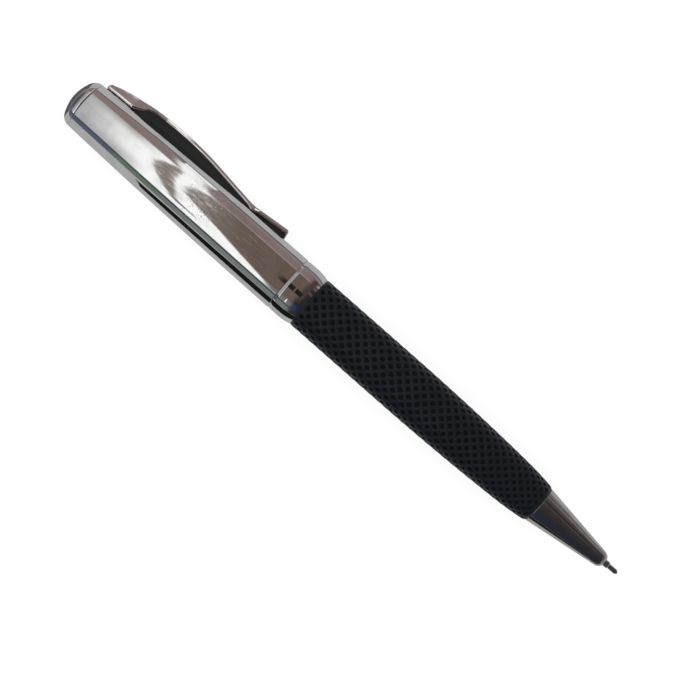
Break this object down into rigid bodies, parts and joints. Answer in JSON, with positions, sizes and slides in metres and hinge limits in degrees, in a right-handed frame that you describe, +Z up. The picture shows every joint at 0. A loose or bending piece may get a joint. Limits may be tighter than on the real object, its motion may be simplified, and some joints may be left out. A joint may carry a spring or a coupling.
{
  "type": "mechanical pencil",
  "caption": "Twist-action mechanical pencil with a chrome upper barrel, a sprung pocket clip, a centre ring, a dimpled black grip and a chrome writing cone.",
  "frame": {"origin": "on the table that the pencil lies on, under the middle of its bounding box", "axes": "+X along the pencil towards the writing tip, +Y towards the side that the clip lies on, +Z up; the pencil's axis runs along X at y -1.5075 mm and z 5.85 mm"},
  "size_m": [0.1374, 0.0148, 0.0117],
  "materials": {
    "chrome": "polished chrome plate",
    "grip_plastic": "satin black, dimpled",
    "steel": "fine turned",
    "spring_steel": "drawn wire",
    "brass": "machined",
    "mechanism_plastic": "moulded acetal",
    "bush_plastic": "moulded acetal",
    "seal_rubber": "nitrile",
    "eraser_rubber": "vinyl",
    "graphite": "graphite lead",
    "ferrule_metal": "satin"
  },
  "bodies": {
    "lower": {"writing_cone": "steel", "lead_sleeve": "steel", "lead_retainer": "seal_rubber", "grip_barrel": "grip_plastic", "grip_liner": "brass", "centre_ring": "chrome", "barrel_coupler": "brass", "barrel_o_ring": "seal_rubber", "mechanism_housing": "bush_plastic", "retaining_ring": "spring_steel", "thrust_washer": "steel", "chuck_housing": "bush_plastic", "clutch_stop": "steel", "return_spring": "spring_steel"},
    "driver": {"twist_driver": "mechanism_plastic"},
    "upper": {"upper_barrel": "chrome", "barrel_bushing": "bush_plastic", "finial_dome": "chrome"},
    "clip": {"pocket_clip": "chrome"},
    "carriage": {"lead_tube": "bush_plastic", "follower_ring": "brass", "drive_pins": "steel", "chuck": "brass", "working_lead": "graphite", "spare_leads": "graphite"},
    "clutch": {"clutch_ring": "steel"},
    "eraser": {"eraser": "eraser_rubber", "eraser_ferrule": "ferrule_metal"}
  },
  "joints": [
    {"name": "twist", "type": "hinge", "parent": "lower", "child": "driver", "pos_m": [-0.02867, -0.00151, 0.00585], "axis": [1, 0, 0], "range_deg": [0, 60], "stiffness_Nm_per_rad": 0.008, "springref_deg": -20.05},
    {"name": "pull_off", "type": "slide", "parent": "driver", "child": "upper", "axis": [-1, 0, 0], "range_m": [0, 0.04]},
    {"name": "clip_flex", "type": "hinge", "parent": "upper", "child": "clip", "pos_m": [-0.06498, 0.00313, 0.00349], "axis": [0, 0.454, 0.891], "range_deg": [0, 3.5], "stiffness_Nm_per_rad": 0.12, "springref_deg": -5.73},
    {"name": "feed", "type": "slide", "parent": "lower", "child": "carriage", "axis": [1, 0, 0], "range_m": [0, 0.0016], "deforming": ["return_spring"]},
    {"name": "clutch_slip", "type": "slide", "parent": "lower", "child": "clutch", "axis": [1, 0, 0], "range_m": [0, 0.0008]},
    {"name": "eraser_pull", "type": "slide", "parent": "carriage", "child": "eraser", "axis": [-1, 0, 0], "range_m": [0, 0.007]}
  ],
  "couplings": [
    {"joint": "twist", "follows": "feed", "rad_per_m": 654.5},
    {"joint": "clutch_slip", "follows": "feed", "ratio": 0.5}
  ]
}
